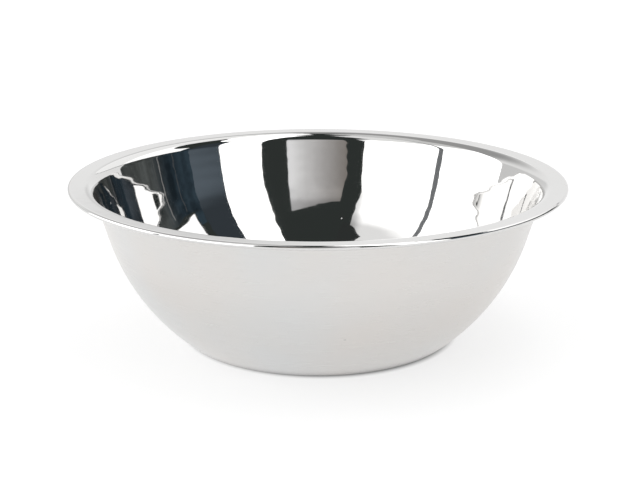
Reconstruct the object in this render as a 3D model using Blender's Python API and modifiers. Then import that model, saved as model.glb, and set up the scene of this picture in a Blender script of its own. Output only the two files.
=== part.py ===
"""Stainless steel mixing bowl, drawn from a single disc of sheet.

Run it with blender --background --python part.py, or from Blender's text editor. Metres, +Z up.
The origin is the middle of the flat underside, on the surface that the bowl stands on.

The sheet runs unbroken from the middle of the base to the end of the rolled bead: flat base, heel,
round wall that ends in a straight flare, shoulder, lip, bead. Its section is drawn as one line
along the middle of the sheet's thickness, turned about Z with a Screw modifier, and given the
sheet's thickness with Solidify. A point of the section is (distance from the axis, height).
"""

import math

import bpy
from mathutils import Vector

# Driving dimensions, all measured on the steel's faces.
RIM_DIAMETER = 0.3365  # across the outside of the bead
HEIGHT = 0.109  # underside of the base to the top of the bead
SHEET = 0.0007  # thickness of the steel
WALL_RADIUS = 0.143  # outer face of the wall, in section
WALL_CENTRE = Vector((0.0055, 0.114))  # centre of the wall's arc, in section
WALL_FLARE = math.radians(16.4)  # the top of the wall leans out this much, and is straight
HEEL_RADIUS = 0.0095  # outer face of the bend from base to wall
SHOULDER_RADIUS = 0.008  # upper face of the bend from wall to lip
LIP_SLOPE = math.radians(3.0)  # the lip rises this much outwards
BEAD_DIAMETER = 0.003  # the lip's edge, rolled under
BEAD_TURN = math.radians(285.0)  # how far round the roll goes, which leaves its seam open

# How finely the section and the turning are divided.
TURN_STEPS = 72
HEEL_STEPS = 3
WALL_STEPS = 10
FLARE_STEPS = 2
SHOULDER_STEPS = 5
BEAD_STEPS = 9
MERGE_DISTANCE = 0.00001

STEEL_COLOUR = (0.78, 0.775, 0.765, 1.0)
STEEL_ROUGHNESS = 0.28


def clear_scene():
    """Removes whatever the file opened with."""
    for old in list(bpy.data.objects):
        bpy.data.objects.remove(old, do_unlink=True)


def new_collection(name):
    collection = bpy.data.collections.new(name)
    bpy.context.scene.collection.children.link(collection)
    return collection


def stainless_steel():
    material = bpy.data.materials.new("stainless_steel")
    material.use_nodes = True
    shader = material.node_tree.nodes["Principled BSDF"]
    shader.inputs["Base Color"].default_value = STEEL_COLOUR
    shader.inputs["Metallic"].default_value = 1.0
    shader.inputs["Roughness"].default_value = STEEL_ROUGHNESS
    return material


def direction(angle):
    return Vector((math.cos(angle), math.sin(angle)))


def bearing(vector):
    return math.atan2(vector.y, vector.x)


def arc(centre, radius, start, end, steps):
    """Points from the angle start to the angle end, both included."""
    return [
        centre + radius * direction(start + (end - start) * step / steps)
        for step in range(steps + 1)
    ]


def heel_centre():
    """The heel touches the ground plane from above and the wall's arc from inside."""
    reach = WALL_RADIUS - HEEL_RADIUS
    drop = WALL_CENTRE.y - HEEL_RADIUS
    return Vector((WALL_CENTRE.x + math.sqrt(reach**2 - drop**2), HEEL_RADIUS))


def bead_centre():
    radius = BEAD_DIAMETER / 2
    return Vector((RIM_DIAMETER / 2 - radius, HEIGHT - radius))


def shoulder_centre(flare_start, shoulder_radius, bead_radius):
    """The shoulder touches the flare from outside and the lip from below.

    Its centre is on a line beside the flare and on a line parallel to the lip. This is where
    the two lines cross.
    """
    outwards = direction(-WALL_FLARE)
    up_flare = direction(math.pi / 2 - WALL_FLARE)
    along_lip = direction(LIP_SLOPE)
    above_lip = direction(LIP_SLOPE + math.pi / 2)
    beside_flare = flare_start + shoulder_radius * outwards
    below_lip = bead_centre() + (bead_radius - shoulder_radius) * above_lip
    gap = below_lip - beside_flare
    return beside_flare + up_flare * (gap.cross(along_lip) / up_flare.cross(along_lip))


def sheet_section():
    """The line along the middle of the sheet, from the axis outwards to the end of the bead."""
    half = SHEET / 2
    wall_radius = WALL_RADIUS - half
    shoulder_radius = SHOULDER_RADIUS - half
    bead_radius = BEAD_DIAMETER / 2 - half
    heel = heel_centre()
    heel_end = bearing(heel - WALL_CENTRE)
    flare_start = WALL_CENTRE + wall_radius * direction(-WALL_FLARE)
    shoulder = shoulder_centre(flare_start, shoulder_radius, bead_radius)
    flare_end = shoulder - shoulder_radius * direction(-WALL_FLARE)
    lip_up = LIP_SLOPE + math.pi / 2

    base = [Vector((0.0, half))]
    heel_arc = arc(heel, HEEL_RADIUS - half, -math.pi / 2, heel_end, HEEL_STEPS)
    wall_arc = arc(WALL_CENTRE, wall_radius, heel_end, -WALL_FLARE, WALL_STEPS)
    flare = [flare_start.lerp(flare_end, step / FLARE_STEPS) for step in range(FLARE_STEPS)]
    shoulder_arc = arc(
        shoulder, shoulder_radius, math.pi - WALL_FLARE, lip_up, SHOULDER_STEPS
    )
    bead_arc = arc(bead_centre(), bead_radius, lip_up, lip_up - BEAD_TURN, BEAD_STEPS)
    # A stretch that starts where the one before it ended leaves that shared point out.
    return base + heel_arc + wall_arc[1:] + flare[1:] + shoulder_arc + bead_arc


def make_bowl(collection):
    """One sheet: the section turned about Z, then given its thickness on both sides."""
    points = [(point.x, 0.0, point.y) for point in sheet_section()]
    edges = [(index, index + 1) for index in range(len(points) - 1)]
    mesh = bpy.data.meshes.new("bowl")
    mesh.from_pydata(points, edges, [])
    bowl = bpy.data.objects.new("bowl", mesh)
    collection.objects.link(bowl)
    bowl.data.materials.append(stainless_steel())

    turn = bowl.modifiers.new("turn", "SCREW")
    turn.axis = "Z"
    turn.angle = 2 * math.pi
    turn.steps = TURN_STEPS
    turn.render_steps = TURN_STEPS
    turn.use_merge_vertices = True
    turn.merge_threshold = MERGE_DISTANCE
    turn.use_smooth_shade = True

    thickness = bowl.modifiers.new("sheet_thickness", "SOLIDIFY")
    thickness.thickness = SHEET
    thickness.offset = 0.0
    thickness.use_even_offset = True
    return bowl


def main():
    clear_scene()
    make_bowl(new_collection("mixing_bowl"))


main()
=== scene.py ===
"""The looks of the stainless steel mixing bowl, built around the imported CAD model.

The bowl is one turned sheet, so it is one piece here too: a fine surface with the same section as
the CAD node that it replaces. Steel shows little but its surroundings, so the studio matters as much
as the steel does. It is a ring of soft cards and dark gaps round a pale floor.

Lengths are in metres. Azimuth 0 is the camera's side of the bowl, and 90 is the camera's right.
"""

import math

import bmesh
import bpy
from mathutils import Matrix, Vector


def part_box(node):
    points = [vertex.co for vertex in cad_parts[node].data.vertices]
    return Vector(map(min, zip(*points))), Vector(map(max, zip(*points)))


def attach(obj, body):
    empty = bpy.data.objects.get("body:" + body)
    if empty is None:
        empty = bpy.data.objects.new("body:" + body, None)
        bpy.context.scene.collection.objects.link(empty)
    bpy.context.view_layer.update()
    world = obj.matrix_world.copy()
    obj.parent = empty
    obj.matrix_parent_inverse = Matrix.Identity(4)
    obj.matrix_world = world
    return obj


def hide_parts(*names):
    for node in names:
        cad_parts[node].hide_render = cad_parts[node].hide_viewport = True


# The sheet's section, as in the CAD model. Points are (distance from the axis, height).
SHEET = 0.0007
WALL_RADIUS = 0.143
WALL_CENTRE = Vector((0.0055, 0.114))
WALL_FLARE = math.radians(16.4)
HEEL_RADIUS = 0.0095
SHOULDER_RADIUS = 0.008
LIP_SLOPE = math.radians(3.0)
BEAD_DIAMETER = 0.003
BEAD_TURN = math.radians(285.0)

# Faint rings left in the wall by forming, one every few millimetres of height.
RING_HEIGHT = 0.000010
RING_PITCH = 0.0086
RING_PHASE = 0.0022

# How finely the section and the turning are divided.
TURN_STEPS = 240
BASE_STEPS = 8
HEEL_STEPS = 12
WALL_STEPS = 66
FLARE_STEPS = 24
SHOULDER_STEPS = 18
LIP_STEPS = 6
BEAD_STEPS = 34
SEAM_STEPS = 6
ON_AXIS = 1e-6  # a point nearer the axis than this is taken to be on it

# The steel's two finishes. A pair is the two ends that a colour or roughness drifts between.
POLISHED = 0
SATIN = 1
POLISHED_COLOURS = ((0.66, 0.655, 0.645, 1.0), (0.70, 0.695, 0.69, 1.0))
POLISHED_ROUGHNESS = (0.02, 0.05)
DUST_ROUGHNESS = 0.6
PEEL_HEIGHT = 0.00004  # orange peel
LINE_HEIGHT = 0.000001  # polishing lines
SATIN_COLOURS = ((0.665, 0.668, 0.665, 1.0), (0.685, 0.662, 0.640, 1.0))
SATIN_ROUGHNESS = (0.26, 0.38)
GRAIN_HEIGHT = 0.000005
NICK_COLOUR = (0.50, 0.49, 0.48, 1.0)
REFLECTIONS = 4  # as many as the render follows
PAINTED_DEEP_REFLECTION = (0.03, 0.9)  # painted reflection: the glow that a deeper reflection shows, on the left and on the right
PAINTED_REFLECTION_BLEND = (0.0, 0.05)  # where along X it changes from one to the other

# The camera: a long lens, looking a little down at a point on the bowl's axis.
AIM_HEIGHT = 0.3  # as a share of the rim's radius
CAMERA_DISTANCE = 5.5  # in rim radii
CAMERA_ELEVATION = math.radians(16.85)
LENS = 76.8
SENSOR_WIDTH = 36.0
SHIFT_RIGHT = -0.0088
SHIFT_UP = 0.0147

# The studio. Colours are the light that a card or the room gives off.
CARD_DISTANCE = 5.0
NEARER = 0.97  # of that distance, for a card in front of another
CARD_STEPS = 24
FLOOR_RADIUS = 5.0
FLOOR_SIDES = 128
FLOOR_GAP = 0.0001  # keeps the floor and the underside apart
FLOOR_COLOUR = (0.33, 0.33, 0.33, 1.0)
FLOOR_ROUGHNESS = 0.9
FLOOR_SPECULAR = 0.1
FLOOR_GLOW_NEAR = 0.68  # painted shade: the floor glows dimmer close to the bowl, where the bowl would shade it
FLOOR_GLOW = 0.75
GLOW_RADII = (0.095, 0.23)  # between these it brightens from the one to the other
PAINTED_SHADOW_RADIUS = 0.0875  # painted contact shadow: the floor gives off no light nearer the axis than this
PAINTED_SHADOW_EDGE = 0.0970  # and all of its light further out than this, where the painted shadow ends
PAINTED_SHADOW_SHIFT = 0.0015  # the painted contact shadow reaches further on the camera's right
FAR_GLOW = 0.15  # added far off, which keeps the horizon white
FAR_GLOW_RADII = (1.0, 3.0)
BRIGHT = 2.4  # the strength of a card that shows as plain white in the steel
SOFT = 1.02  # the strength of one that shows a little short of white
WHITE = (1.0, 1.0, 1.0, 1.0)
BLACK = (0.0, 0.0, 0.0, 1.0)
DARK_ROOM = (0.036, 0.042, 0.040, 1.0)
SEAM_BLUE = (0.92, 0.96, 1.0, 1.0)
FLAG_GREEN = (0.9, 1.0, 0.97, 1.0)
CARD_BLUE = (0.68, 0.84, 1.0, 1.0)
DRAPE_FRONT = (0.026, 0.041, 0.054, 1.0)
DRAPE_BACK = (0.078, 0.085, 0.084, 1.0)
WINDOW_LEFT = (0.30, 0.275, 0.255, 1.0)
WINDOW_RIGHT = (0.93, 0.93, 0.94, 1.0)


# ---------------------------------------------------------------------------
# The sheet's section
# ---------------------------------------------------------------------------


def direction(angle):
    return Vector((math.cos(angle), math.sin(angle)))


def bearing(vector):
    return math.atan2(vector.y, vector.x)


def heel_centre():
    """The heel touches the ground plane from above and the wall's arc from inside."""
    reach = WALL_RADIUS - HEEL_RADIUS
    drop = WALL_CENTRE.y - HEEL_RADIUS
    return Vector((WALL_CENTRE.x + math.sqrt(reach**2 - drop**2), HEEL_RADIUS))


def shoulder_centre(flare_start, shoulder_radius, bead, bead_radius):
    """Where a line beside the flare crosses a line below the lip, each a shoulder radius away."""
    outwards = direction(-WALL_FLARE)
    up_flare = direction(math.pi / 2 - WALL_FLARE)
    along_lip = direction(LIP_SLOPE)
    above_lip = direction(LIP_SLOPE + math.pi / 2)
    beside_flare = flare_start + shoulder_radius * outwards
    below_lip = bead + (bead_radius - shoulder_radius) * above_lip
    gap = below_lip - beside_flare
    return beside_flare + up_flare * (gap.cross(along_lip) / up_flare.cross(along_lip))


def line(start, end, steps, normal):
    return [(start.lerp(end, step / steps), normal) for step in range(steps)]


def arc(centre, radius, start, end, steps, side):
    """Points and upper-face normals along an arc. side is 1 where its centre is below the sheet."""
    turns = [start + (end - start) * step / steps for step in range(steps)]
    return [(centre + radius * direction(turn), side * direction(turn)) for turn in turns]


def ringed(point, normal):
    """Moves a point of the wall to where the forming rings put it."""
    turn = 2 * math.pi * (point.y - RING_PHASE) / RING_PITCH
    return (point + RING_HEIGHT * math.cos(turn) * normal, normal)


def middle_line(rim_radius, height):
    """The middle of the sheet as (point, upper-face normal), from the axis to the bead's end."""
    half = SHEET / 2
    heel = heel_centre()
    heel_end = bearing(heel - WALL_CENTRE)
    wall_radius = WALL_RADIUS - half
    inwards = -direction(-WALL_FLARE)
    flare_start = WALL_CENTRE - wall_radius * inwards
    bead = Vector((rim_radius - BEAD_DIAMETER / 2, height - BEAD_DIAMETER / 2))
    bead_radius = BEAD_DIAMETER / 2 - half
    shoulder_radius = SHOULDER_RADIUS - half
    shoulder = shoulder_centre(flare_start, shoulder_radius, bead, bead_radius)
    flare_end = shoulder + shoulder_radius * inwards
    lip_up = LIP_SLOPE + math.pi / 2
    lip_normal = direction(lip_up)
    lip_start = shoulder + shoulder_radius * lip_normal
    lip_end = bead + bead_radius * lip_normal
    seam = lip_up - BEAD_TURN

    base = line(Vector((0.0, half)), Vector((heel.x, half)), BASE_STEPS, Vector((0, 1)))
    heel_arc = arc(heel, HEEL_RADIUS - half, -math.pi / 2, heel_end, HEEL_STEPS, -1)
    wall = arc(WALL_CENTRE, wall_radius, heel_end, -WALL_FLARE, WALL_STEPS, -1)
    wall += line(flare_start, flare_end, FLARE_STEPS, inwards)
    wall = [ringed(point, normal) for point, normal in wall]
    shoulder_start = math.pi - WALL_FLARE
    shoulder_arc = arc(shoulder, shoulder_radius, shoulder_start, lip_up, SHOULDER_STEPS, 1)
    lip = line(lip_start, lip_end, LIP_STEPS, lip_normal)
    bead_arc = arc(bead, bead_radius, lip_up, seam, BEAD_STEPS, 1)
    bead_end = (bead + bead_radius * direction(seam), direction(seam))
    return base + heel_arc + wall + shoulder_arc + lip + bead_arc + [bead_end]


def outline(rim_radius, height):
    """The sheet's whole outline: up the inside, over the lip, round the bead, and back outside.

    Also gives the number of the point, halfway round the bead, where the mirror polish ends.
    """
    half = SHEET / 2
    middle = middle_line(rim_radius, height)
    upper = [point + half * normal for point, normal in middle]
    lower = [point - half * normal for point, normal in middle]
    end, normal = middle[-1]
    across = bearing(normal)
    seam = [
        end + half * direction(across - math.pi * step / SEAM_STEPS)
        for step in range(1, SEAM_STEPS)
    ]
    polish_end = len(upper) - BEAD_STEPS // 2
    return upper + seam + lower[::-1], polish_end


# ---------------------------------------------------------------------------
# The bowl
# ---------------------------------------------------------------------------


def turned(name, points, region_of):
    """Turns an outline that starts and ends on the axis. region_of(i) is a strip's material."""
    mesh_data = bmesh.new()
    rings = []
    for point in points:
        if point.x < ON_AXIS:
            rings.append([mesh_data.verts.new((0.0, 0.0, point.y))])
            continue
        ring = []
        for step in range(TURN_STEPS):
            spoke = direction(2 * math.pi * step / TURN_STEPS) * point.x
            ring.append(mesh_data.verts.new((spoke.x, spoke.y, point.y)))
        rings.append(ring)
    for index in range(len(rings) - 1):
        here = rings[index]
        there = rings[index + 1]
        for step in range(TURN_STEPS):
            after = (step + 1) % TURN_STEPS
            corners = [here[step % len(here)], there[step % len(there)]]
            if len(there) > 1:
                corners.append(there[after])
            if len(here) > 1:
                corners.append(here[after])
            face = mesh_data.faces.new(corners)
            face.smooth = True
            face.material_index = region_of(index)
    bmesh.ops.recalc_face_normals(mesh_data, faces=mesh_data.faces)
    mesh = bpy.data.meshes.new(name)
    mesh_data.to_mesh(mesh)
    mesh_data.free()
    bowl = bpy.data.objects.new(name, mesh)
    bpy.context.scene.collection.objects.link(bowl)
    return bowl


def make_bowl():
    low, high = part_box("bowl")
    points, polish_end = outline((high.x - low.x) / 2, high.z)
    bowl = turned("steel_bowl", points, lambda index: POLISHED if index < polish_end else SATIN)
    # In the order of POLISHED and SATIN.
    bowl.data.materials.append(polished_steel())
    bowl.data.materials.append(satin_steel())
    return bowl


# ---------------------------------------------------------------------------
# Materials
# ---------------------------------------------------------------------------


class Nodes:
    """A material's node tree, with short ways to add and join nodes."""

    def __init__(self, name):
        self.material = bpy.data.materials.new(name)
        self.material.use_nodes = True
        self.tree = self.material.node_tree
        self.shader = self.tree.nodes["Principled BSDF"]

    def put(self, socket, value):
        """Sets an input socket to a number or colour, or links it to an output socket."""
        if isinstance(value, bpy.types.NodeSocket):
            self.tree.links.new(value, socket)
        else:
            socket.default_value = value

    def math(self, operation, a, b=0.0):
        node = self.tree.nodes.new("ShaderNodeMath")
        node.operation = operation
        self.put(node.inputs[0], a)
        self.put(node.inputs[1], b)
        return node.outputs[0]

    def rescale(self, value, span, to_span=(0.0, 1.0), smooth=False):
        """Takes the first end of span to the first end of to_span, and the second to the second."""
        node = self.tree.nodes.new("ShaderNodeMapRange")
        if smooth:
            node.interpolation_type = "SMOOTHSTEP"
        self.put(node.inputs["Value"], value)
        node.inputs["From Min"].default_value = span[0]
        node.inputs["From Max"].default_value = span[1]
        node.inputs["To Min"].default_value = to_span[0]
        node.inputs["To Max"].default_value = to_span[1]
        return node.outputs["Result"]

    def position(self):
        return self.tree.nodes.new("ShaderNodeTexCoord").outputs["Object"]

    def split(self, vector):
        node = self.tree.nodes.new("ShaderNodeSeparateXYZ")
        self.put(node.inputs[0], vector)
        return node.outputs

    def radius(self, x, y):
        """The distance from the bowl's axis."""
        square = self.math("ADD", self.math("MULTIPLY", x, x), self.math("MULTIPLY", y, y))
        return self.math("MAXIMUM", self.math("SQRT", square), ON_AXIS)

    def azimuth(self, x, y):
        """The angle round the bowl, which is 0 on the camera's side."""
        return self.math("ARCTAN2", x, self.math("MULTIPLY", y, -1.0))

    def noise(self, vector, scale, detail=2.0, roughness=0.5):
        node = self.tree.nodes.new("ShaderNodeTexNoise")
        self.put(node.inputs["Vector"], vector)
        node.inputs["Scale"].default_value = scale
        node.inputs["Detail"].default_value = detail
        node.inputs["Roughness"].default_value = roughness
        return node.outputs["Fac"]

    def round_the_axis(self, along, across):
        """Coordinates for a grain that runs round the bowl.

        A noise on them has features 1 / along radians long and 1 / across metres wide.
        """
        x, y, z = self.split(self.position())
        radius = self.radius(x, y)
        join = self.tree.nodes.new("ShaderNodeCombineXYZ")
        for axis, value in enumerate((x, y)):
            spoke = self.math("DIVIDE", value, radius)
            self.put(join.inputs[axis], self.math("MULTIPLY", spoke, along))
        # The radius and the height both grow from the middle of the base to the rim.
        run = self.math("ADD", radius, z)
        self.put(join.inputs[2], self.math("MULTIPLY", run, across))
        return join.outputs[0]

    def specks(self, vector, scale, size, share):
        """1 on a few small round spots and 0 elsewhere. share is how many cells hold a spot."""
        node = self.tree.nodes.new("ShaderNodeTexVoronoi")
        self.put(node.inputs["Vector"], vector)
        node.inputs["Scale"].default_value = scale
        near = self.math("LESS_THAN", node.outputs["Distance"], size)
        chance = self.split(node.outputs["Color"])[0]
        return self.math("MULTIPLY", near, self.math("LESS_THAN", chance, share))

    def bump(self, height, distance, under=None):
        """A normal from a height. distance is how high, in metres, a height of 1 stands."""
        node = self.tree.nodes.new("ShaderNodeBump")
        node.inputs["Strength"].default_value = 1.0
        node.inputs["Distance"].default_value = distance
        self.put(node.inputs["Height"], height)
        if under is not None:
            self.put(node.inputs["Normal"], under)
        return node.outputs["Normal"]

    def blend(self, factor, first, second):
        """A colour between two. A Mix node's colour sockets are inputs 6 and 7 and output 2."""
        node = self.tree.nodes.new("ShaderNodeMix")
        node.data_type = "RGBA"
        self.put(node.inputs[0], factor)
        self.put(node.inputs[6], first)
        self.put(node.inputs[7], second)
        return node.outputs[2]


def polished_steel():
    """The mirror finish inside and on the lip, with faint orange peel and polishing lines, and a
    painted reflection that glows in reflections deeper than the render follows.
    """
    steel = Nodes("polished_steel")
    place = steel.position()
    peel = steel.noise(place, scale=95.0, detail=1.0)
    lines = steel.noise(steel.round_the_axis(along=2.0, across=900.0), scale=1.0, detail=3.0)
    cloud = steel.noise(place, scale=14.0, detail=3.0)
    gloss = steel.rescale(steel.math("MULTIPLY", lines, cloud), (0.1, 0.4), POLISHED_ROUGHNESS)
    dust = steel.specks(place, scale=55.0, size=0.045, share=0.12)
    gloss = steel.math("MAXIMUM", gloss, steel.math("MULTIPLY", dust, DUST_ROUGHNESS))
    waves = steel.bump(peel, PEEL_HEIGHT)
    normal = steel.bump(lines, LINE_HEIGHT, under=waves)
    steel.put(steel.shader.inputs["Base Color"], steel.blend(cloud, *POLISHED_COLOURS))
    steel.put(steel.shader.inputs["Metallic"], 1.0)
    steel.put(steel.shader.inputs["Roughness"], gloss)
    steel.put(steel.shader.inputs["Normal"], normal)
    # The render follows no more than REFLECTIONS of them. A deeper one shows a painted reflection
    # in place of what it would reflect: the steel glows, dark on the left and bright on the right.
    path = steel.tree.nodes.new("ShaderNodeLightPath")
    deep = steel.math("GREATER_THAN", path.outputs["Glossy Depth"], REFLECTIONS - 0.5)
    # The painted reflection's glow, dark on the left and bright on the right.
    side = steel.rescale(steel.split(place)[0], PAINTED_REFLECTION_BLEND, PAINTED_DEEP_REFLECTION)
    steel.put(steel.shader.inputs["Emission Color"], WHITE)
    steel.put(steel.shader.inputs["Emission Strength"], steel.math("MULTIPLY", deep, side))
    return steel.material


def satin_steel():
    """The finish outside: a fine grain that runs round the bowl, soft enough to hide reflections."""
    steel = Nodes("satin_steel")
    grain_place = steel.round_the_axis(along=5.0, across=2200.0)
    grain = steel.noise(grain_place, scale=1.0, detail=4.0, roughness=0.6)
    cloud = steel.noise(steel.position(), scale=11.0, detail=2.0)
    colour = steel.blend(steel.rescale(cloud, (0.35, 0.65)), *SATIN_COLOURS)
    gloss = steel.rescale(grain, (0.3, 0.7), SATIN_ROUGHNESS)
    nick_place = steel.round_the_axis(along=8.0, across=90.0)
    nicks = steel.specks(nick_place, scale=1.0, size=0.06, share=0.12)
    steel.put(steel.shader.inputs["Base Color"], steel.blend(nicks, colour, NICK_COLOUR))
    steel.put(steel.shader.inputs["Metallic"], 1.0)
    steel.put(steel.shader.inputs["Roughness"], gloss)
    steel.put(steel.shader.inputs["Normal"], steel.bump(grain, GRAIN_HEIGHT))
    return steel.material


# ---------------------------------------------------------------------------
# The studio
# ---------------------------------------------------------------------------


def lamp(name, colour):
    """A material that only gives off light, and the node tree to shape its strength with."""
    light = Nodes(name)
    light.put(light.shader.inputs["Base Color"], BLACK)
    light.put(light.shader.inputs["Roughness"], 1.0)
    light.put(light.shader.inputs["Specular IOR Level"], 0.0)
    light.put(light.shader.inputs["Emission Color"], colour)
    return light


def sky_point(azimuth, elevation):
    """A point at the cards' distance, from angles in degrees."""
    turn = math.radians(azimuth)
    rise = math.radians(elevation)
    level = CARD_DISTANCE * math.cos(rise)
    return (level * math.sin(turn), -level * math.cos(turn), CARD_DISTANCE * math.sin(rise))


def heights(low, high):
    """The heights of two elevations, in degrees, at the cards' distance."""
    return [CARD_DISTANCE * math.sin(math.radians(elevation)) for elevation in (low, high)]


def turns(start, end):
    """Two azimuths in radians, from degrees."""
    return [math.radians(azimuth) for azimuth in (start, end)]


def card(name, corners, light, nearer=1.0, bends=()):
    """A curved card that faces the bowl. nearer is its share of the cards' distance.

    Its corners are (azimuth, elevation) in degrees: low left, low right, high right, high left.
    bends are (left, right) pairs between the low and the high corners, where its sides turn.
    """
    low_left, low_right, high_right, high_left = corners
    levels = [(low_left, low_right), *bends, (high_left, high_right)]
    sides = [(Vector(left), Vector(right)) for left, right in levels]
    rows = []
    for below, above in zip(sides, sides[1:]):
        for step in range(CARD_STEPS):
            share = step / CARD_STEPS
            rows.append((below[0].lerp(above[0], share), below[1].lerp(above[1], share)))
    rows.append(sides[-1])
    points = []
    faces = []
    for left, right in rows:
        for column in range(CARD_STEPS + 1):
            azimuth, elevation = left.lerp(right, column / CARD_STEPS)
            points.append(nearer * Vector(sky_point(azimuth, elevation)))
    for row in range(len(rows) - 1):
        for column in range(CARD_STEPS):
            corner = row * (CARD_STEPS + 1) + column
            above = corner + CARD_STEPS + 1
            faces.append((corner, corner + 1, above + 1, above))
    mesh = bpy.data.meshes.new(name)
    mesh.from_pydata(points, [], faces)
    panel = bpy.data.objects.new(name, mesh)
    panel.visible_camera = False
    bpy.context.scene.collection.objects.link(panel)
    mesh.materials.append(light)


def even(name, colour, strength):
    """A card's light, the same all over."""
    light = lamp(name, colour)
    light.put(light.shader.inputs["Emission Strength"], strength)
    return light.material


def fading(name, colour, strength, top_strength, elevations):
    """A card's light that changes to top_strength between two elevations."""
    light = lamp(name, colour)
    height = light.split(light.position())[2]
    fade = light.rescale(height, heights(*elevations), (strength, top_strength), smooth=True)
    light.put(light.shader.inputs["Emission Strength"], fade)
    return light.material


def left_light():
    """The left card is softer towards its top, and along its near edge above the middle."""
    light = lamp("left_light", WHITE)
    x, y, height = light.split(light.position())
    fade = light.rescale(height, heights(37, 47), (BRIGHT, 1.05), smooth=True)
    near_edge = light.rescale(light.azimuth(x, y), turns(-36, -26), (0.0, 0.55), smooth=True)
    high_up = light.rescale(height, heights(22, 30), smooth=True)
    kept = light.math("SUBTRACT", 1.0, light.math("MULTIPLY", near_edge, high_up))
    light.put(light.shader.inputs["Emission Strength"], light.math("MULTIPLY", fade, kept))
    return light.material


def sweep_light():
    """The sweep behind the bowl dims upwards, and low down on the camera's left."""
    light = lamp("sweep_light", WHITE)
    x, _, height = light.split(light.position())
    fade = light.rescale(height, heights(18.5, 42), (SOFT, 0.42), smooth=True)
    low_down = light.rescale(height, heights(11, 15.5), (0.22, 0.0), smooth=True)
    left = light.rescale(x, (-0.4, 0.2), (1.0, 0.0))
    kept = light.math("SUBTRACT", 1.0, light.math("MULTIPLY", low_down, left))
    light.put(light.shader.inputs["Emission Strength"], light.math("MULTIPLY", fade, kept))
    return light.material


def drape_light():
    """The drape is almost black, blue-green in front and greyer towards the back, in soft folds."""
    light = lamp("drape_light", WHITE)
    x, y, _ = light.split(light.position())
    share = light.rescale(light.azimuth(x, y), turns(92, 110), smooth=True)
    folds = light.noise(light.position(), scale=2.0, detail=3.0)
    strength = light.rescale(folds, (0.32, 0.68), (0.5, 1.5))
    light.put(light.shader.inputs["Emission Color"], light.blend(share, DRAPE_FRONT, DRAPE_BACK))
    light.put(light.shader.inputs["Emission Strength"], strength)
    return light.material


def window_light():
    """The window is bright on the camera's right, dim on its left, and dim along its top."""
    light = lamp("window_light", WHITE)
    x, _, height = light.split(light.position())
    share = light.rescale(x, (sky_point(-17, 25)[0], sky_point(17, 25)[0]))
    dim = light.rescale(height, heights(28, 38), (1.0, 0.55), smooth=True)
    uneven = light.rescale(light.noise(light.position(), scale=1.2), (0.3, 0.7), (0.9, 1.08))
    light.put(light.shader.inputs["Emission Color"], light.blend(share, WINDOW_LEFT, WINDOW_RIGHT))
    light.put(light.shader.inputs["Emission Strength"], light.math("MULTIPLY", dim, uneven))
    return light.material


def make_cards():
    """The cards round the bowl. What no card covers shows the dark room."""
    left = left_light()
    far_left = fading("far_left_light", WHITE, BRIGHT, 0.8, elevations=(38, 50))
    seam = even("seam_light", SEAM_BLUE, 0.24)
    bright = even("bright_light", WHITE, BRIGHT)
    right = fading("right_light", WHITE, SOFT, BRIGHT, elevations=(14.2, 16.0))
    wedge = even("wedge_light", WHITE, 1.6)
    wedge_back = even("wedge_back_light", WHITE, 1.2)
    sweep = sweep_light()
    back_ceiling = even("back_ceiling_light", WHITE, 0.8)
    drape = drape_light()
    streak = even("streak_light", WHITE, 0.30)
    faint = even("faint_streak_light", WHITE, 0.12)
    flag = even("flag_light", FLAG_GREEN, 0.04)
    blue = fading("blue_light", CARD_BLUE, 0.18, 0.062, elevations=(13, 26))

    card(
        "window_card", ((-18.9, 0), (17.5, 0), (18.8, 38.8), (-15.0, 34.2)), window_light(),
        bends=(((-18.2, 19.6), (18.1, 19.6)), ((-16.4, 23.0), (18.3, 23.0))),
    )
    card(
        "left_card", ((-69.5, 0), (-26.7, 0), (-24.5, 82), (-83.6, 82)), left,
        bends=(((-72.8, 19), (-26.8, 19)), ((-74.3, 27), (-28.0, 27)), ((-76.2, 38), (-25.9, 38))),
    )
    card("seam_card", ((-72.8, 0), (-69.5, 0), (-83.6, 82), (-86.9, 82)), seam)
    card("far_left_card", ((-119, 0), (-72.8, 0), (-86.9, 82), (-119, 66)), far_left)
    card("right_card", ((34.7, 0), (56.8, 0), (64.5, 70), (30.5, 70)), right)
    card("right_ceiling", ((64, 54), (100, 64), (100, 71), (64, 71)), bright)
    card("right_top", ((29.5, 70), (172, 66), (172, 84), (29.5, 84)), bright)
    card("wedge_card", ((85.8, 24.2), (135, 22.4), (135, 56), (85.8, 38)), wedge)
    card("wedge_back", ((135, 22.4), (178, 21), (178, 66), (135, 66)), wedge_back)
    card("back_sweep", ((132, 0), (241, 0), (241, 21), (132, 21)), sweep)
    card("upper_sweep", ((178, 21), (241, 21), (241, 64), (178, 64)), sweep)
    card("back_ceiling", ((190, 64), (274, 64), (274, 82), (190, 82)), back_ceiling)
    card("drape_card", ((77, 0), (132, 0), (132, 20.5), (78.5, 23)), drape)
    card("drape_side", ((78.5, 23), (85, 23), (85, 30), (80, 30)), drape)
    card("blue_card", ((57.0, 0), (77, 0), (81, 50), (61.9, 50)), blue)
    # These stand a little in front of the others.
    card("left_flag", ((-37.5, 52), (-20, 44.5), (-14, 66), (-30, 66)), flag, NEARER)
    card("streak_1", ((99.3, 0), (99.9, 0), (101.2, 20.5), (100.6, 20.5)), streak, NEARER)
    card("streak_2", ((89.3, 0), (89.6, 0), (89.8, 20.5), (89.5, 20.5)), faint, NEARER)
    card("streak_3", ((104.5, 4), (104.8, 4), (103.4, 20.5), (103.1, 20.5)), faint, NEARER)


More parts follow.
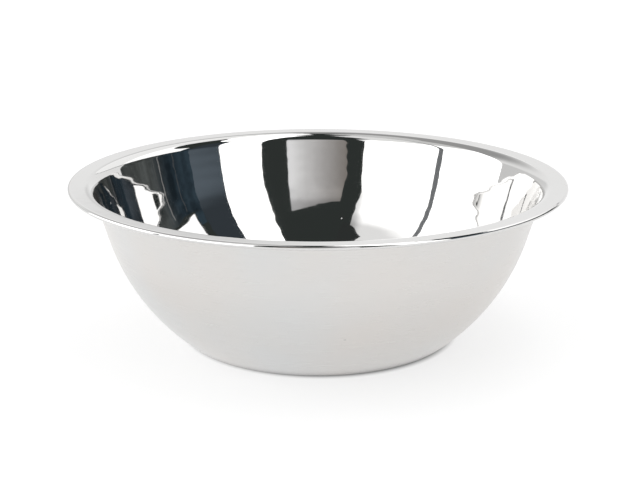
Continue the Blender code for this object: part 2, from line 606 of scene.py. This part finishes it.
def make_floor():
    """A pale table that gives off light, except under the bowl's base, where a painted contact
    shadow stands, and with painted shade close to the bowl.
    """
    low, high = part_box("bowl")
    bpy.ops.mesh.primitive_circle_add(
        vertices=FLOOR_SIDES,
        radius=FLOOR_RADIUS,
        fill_type="NGON",
        location=(0, 0, low.z - FLOOR_GAP),
    )
    floor = bpy.context.object
    floor.name = "floor"
    table = Nodes("pale_floor")
    x, y, _ = table.split(table.position())
    radius = table.radius(x, y)
    # Painted shade: the floor's glow is dimmer close to the bowl.
    painted_shade = table.rescale(radius, GLOW_RADII, (FLOOR_GLOW_NEAR, FLOOR_GLOW), smooth=True)
    # Painted contact shadow: no glow under the base and just round it, reaching further on the
    # camera's right.
    painted_shadow_distance = table.radius(table.math("SUBTRACT", x, PAINTED_SHADOW_SHIFT), y)
    lit = table.rescale(painted_shadow_distance, (PAINTED_SHADOW_RADIUS, PAINTED_SHADOW_EDGE), smooth=True)
    far_glow = table.rescale(radius, FAR_GLOW_RADII, (0.0, FAR_GLOW))
    glow = table.math("ADD", table.math("MULTIPLY", painted_shade, lit), far_glow)
    table.put(table.shader.inputs["Base Color"], FLOOR_COLOUR)
    table.put(table.shader.inputs["Roughness"], FLOOR_ROUGHNESS)
    table.put(table.shader.inputs["Specular IOR Level"], FLOOR_SPECULAR)
    table.put(table.shader.inputs["Emission Color"], WHITE)
    table.put(table.shader.inputs["Emission Strength"], glow)
    floor.data.materials.append(table.material)


def make_world():
    """Plain white behind the bowl, and a dark room where no card is."""
    world = bpy.data.worlds.new("studio")
    bpy.context.scene.world = world
    world.use_nodes = True
    tree = world.node_tree
    tree.nodes.clear()
    room = tree.nodes.new("ShaderNodeBackground")
    room.inputs["Color"].default_value = DARK_ROOM
    backdrop = tree.nodes.new("ShaderNodeBackground")
    backdrop.inputs["Color"].default_value = WHITE
    path = tree.nodes.new("ShaderNodeLightPath")
    mix = tree.nodes.new("ShaderNodeMixShader")
    output = tree.nodes.new("ShaderNodeOutputWorld")
    tree.links.new(path.outputs["Is Camera Ray"], mix.inputs[0])
    tree.links.new(room.outputs[0], mix.inputs[1])
    tree.links.new(backdrop.outputs[0], mix.inputs[2])
    tree.links.new(mix.outputs[0], output.inputs["Surface"])


def make_camera():
    low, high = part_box("bowl")
    rim_radius = (high.x - low.x) / 2
    data = bpy.data.cameras.new("camera")
    data.lens = LENS
    data.sensor_width = SENSOR_WIDTH
    data.shift_x = SHIFT_RIGHT
    data.shift_y = SHIFT_UP
    camera = bpy.data.objects.new("camera", data)
    bpy.context.scene.collection.objects.link(camera)
    away = Vector((0.0, -math.cos(CAMERA_ELEVATION), math.sin(CAMERA_ELEVATION)))
    camera.location = Vector((0, 0, AIM_HEIGHT * rim_radius)) + away * CAMERA_DISTANCE * rim_radius
    camera.rotation_euler = (-away).to_track_quat("-Z", "Y").to_euler()
    bpy.context.scene.camera = camera


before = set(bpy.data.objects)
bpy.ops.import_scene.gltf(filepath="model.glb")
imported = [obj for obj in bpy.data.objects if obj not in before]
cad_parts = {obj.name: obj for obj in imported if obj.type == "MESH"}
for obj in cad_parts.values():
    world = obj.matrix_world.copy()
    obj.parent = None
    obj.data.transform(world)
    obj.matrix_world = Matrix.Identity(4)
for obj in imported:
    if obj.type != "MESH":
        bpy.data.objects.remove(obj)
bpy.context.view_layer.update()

bowl = make_bowl()
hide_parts("bowl")
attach(bowl, "root")

make_floor()
make_cards()
make_world()
make_camera()
bpy.context.scene.view_settings.view_transform = "Standard"
